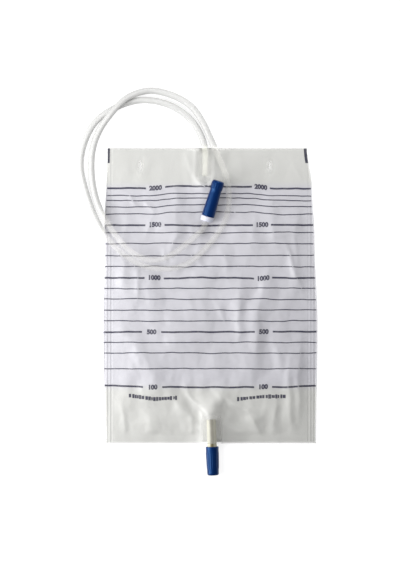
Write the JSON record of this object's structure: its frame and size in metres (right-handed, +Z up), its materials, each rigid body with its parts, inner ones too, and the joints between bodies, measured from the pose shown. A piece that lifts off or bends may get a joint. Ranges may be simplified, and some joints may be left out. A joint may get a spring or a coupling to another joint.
{
  "type": "urine drainage bag",
  "caption": "Flat clear film bag that collects urine, with a coiled inlet tube ending in a capped catheter connector and a slide drain valve at the bottom",
  "frame": {"origin": "on the surface the bag lies on, under the middle of the bag and its drain valve, the free inlet tube not counted", "axes": "X across the bag, +Y along the bag towards its top edge with the inlet, +Z up from the back film to the printed front film"},
  "size_m": [0.24, 0.387, 0.0184],
  "materials": {
    "clear_film": "soft clear film, slightly wrinkled, with a printed scale on the front",
    "clear_tube": "clear flexible tube, glossy",
    "white_moulding": "smooth white moulding",
    "blue_moulding": "smooth glossy blue moulding"
  },
  "bodies": {
    "bag": {"front_film": "clear_film", "back_film": "clear_film", "non_return_valve": "clear_film", "inlet_tube": "clear_tube", "catheter_connector": "white_moulding", "drain_tube": "clear_tube", "drain_valve_stem": "white_moulding"},
    "cap": {"connector_cap": "blue_moulding"},
    "valve_sleeve": {"drain_valve_sleeve": "blue_moulding"}
  },
  "joints": [
    {"name": "cap_pull", "type": "slide", "parent": "bag", "child": "cap", "axis": [0.2902, 0.9492, 0.1219], "range_m": [0, 0.033]},
    {"name": "drain_slide", "type": "slide", "parent": "bag", "child": "valve_sleeve", "axis": [0.0349, -0.9994, 0], "range_m": [0, 0.006]}
  ]
}
